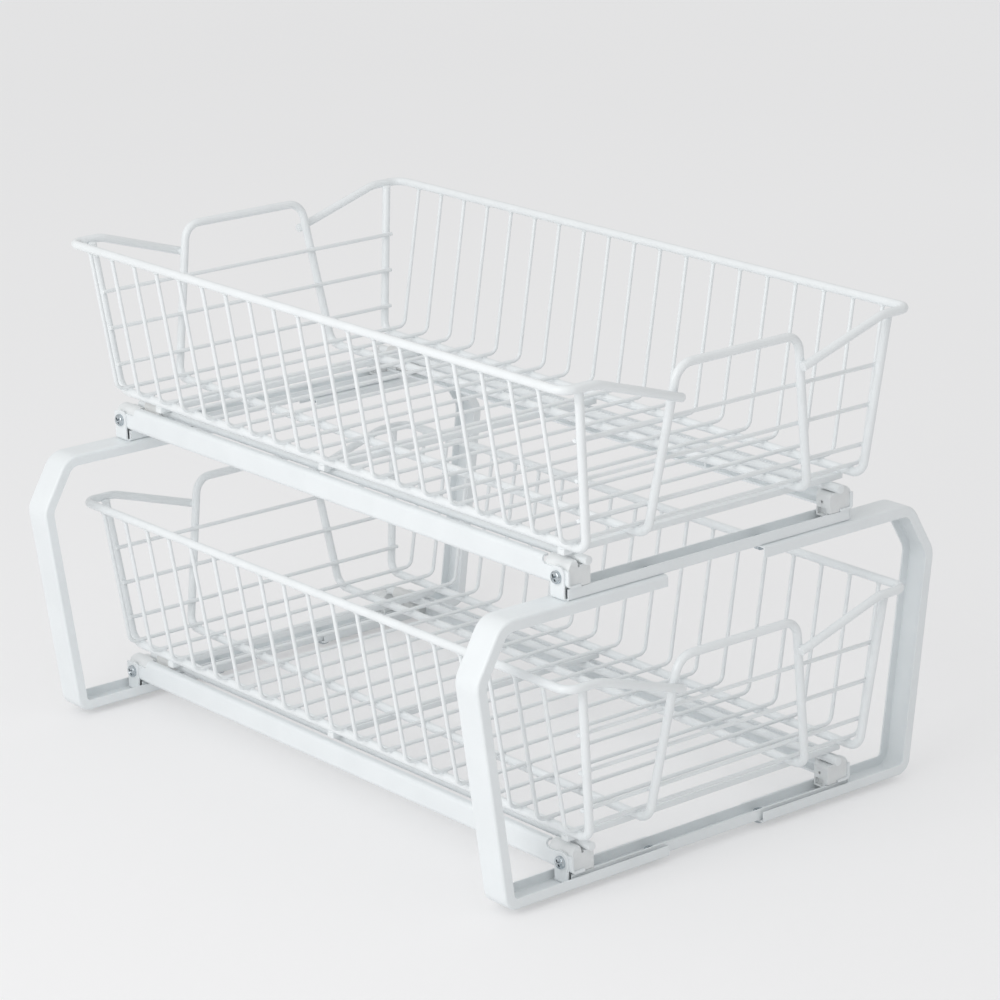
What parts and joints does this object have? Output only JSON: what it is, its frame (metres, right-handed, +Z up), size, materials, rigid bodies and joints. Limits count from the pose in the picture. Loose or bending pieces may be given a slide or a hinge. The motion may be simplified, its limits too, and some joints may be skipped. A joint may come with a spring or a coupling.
{
  "type": "two-tier cabinet organizer",
  "caption": "Two-tier pull-out cabinet organizer: open wire baskets with arched handles slide on rails in a bolted frame of bent channel.",
  "frame": {"origin": "on the floor, under the centre of the baskets in their closed place", "axes": "+X to the right, +Y from the front handles to the rear, +Z up"},
  "size_m": [0.3688, 0.5008, 0.3192],
  "materials": {
    "frame_coat": "white powder coat, soft gloss",
    "basket_coat": "white coated wire, satin",
    "block_plastic": "white moulded plastic",
    "glide_plastic": "white moulded plastic",
    "zinc_steel": "bright zinc plate"
  },
  "bodies": {
    "frame": {"frame_nuts": "zinc_steel", "frame_screws": "zinc_steel", "front_frame_left": "frame_coat", "front_frame_right": "frame_coat", "lower_front_block_left": "block_plastic", "lower_front_block_right": "block_plastic", "lower_front_cross_channel": "frame_coat", "lower_rail_left": "frame_coat", "lower_rail_right": "frame_coat", "lower_rear_block_left": "block_plastic", "lower_rear_block_right": "block_plastic", "lower_rear_cross_channel": "frame_coat", "rail_screws": "zinc_steel", "rear_frame_left": "frame_coat", "rear_frame_right": "frame_coat", "upper_front_block_left": "block_plastic", "upper_front_block_right": "block_plastic", "upper_front_cross_channel": "frame_coat", "upper_rail_left": "frame_coat", "upper_rail_right": "frame_coat", "upper_rear_block_left": "block_plastic", "upper_rear_block_right": "block_plastic", "upper_rear_cross_channel": "frame_coat"},
    "lower_basket": {"lower_corner_wire_left": "basket_coat", "lower_corner_wire_right": "basket_coat", "lower_cross_wires": "basket_coat", "lower_front_bar": "basket_coat", "lower_front_end_wires": "basket_coat", "lower_glide_left": "glide_plastic", "lower_glide_right": "glide_plastic", "lower_handle_ring": "basket_coat", "lower_mid_bar": "basket_coat", "lower_rear_bar": "basket_coat", "lower_rear_end_wires": "basket_coat", "lower_rim_left": "basket_coat", "lower_rim_right": "basket_coat", "lower_runner_left": "basket_coat", "lower_runner_right": "basket_coat"},
    "upper_basket": {"upper_corner_wire_left": "basket_coat", "upper_corner_wire_right": "basket_coat", "upper_cross_wires": "basket_coat", "upper_front_bar": "basket_coat", "upper_front_end_wires": "basket_coat", "upper_glide_left": "glide_plastic", "upper_glide_right": "glide_plastic", "upper_handle_ring": "basket_coat", "upper_mid_bar": "basket_coat", "upper_rear_bar": "basket_coat", "upper_rear_end_wires": "basket_coat", "upper_rim_left": "basket_coat", "upper_rim_right": "basket_coat", "upper_runner_left": "basket_coat", "upper_runner_right": "basket_coat"}
  },
  "joints": [
    {"name": "upper_basket_slide", "type": "slide", "parent": "frame", "child": "upper_basket", "axis": [0, -1, 0], "range_m": [0, 0.3]},
    {"name": "lower_basket_slide", "type": "slide", "parent": "frame", "child": "lower_basket", "axis": [0, -1, 0], "range_m": [0, 0.3]}
  ]
}
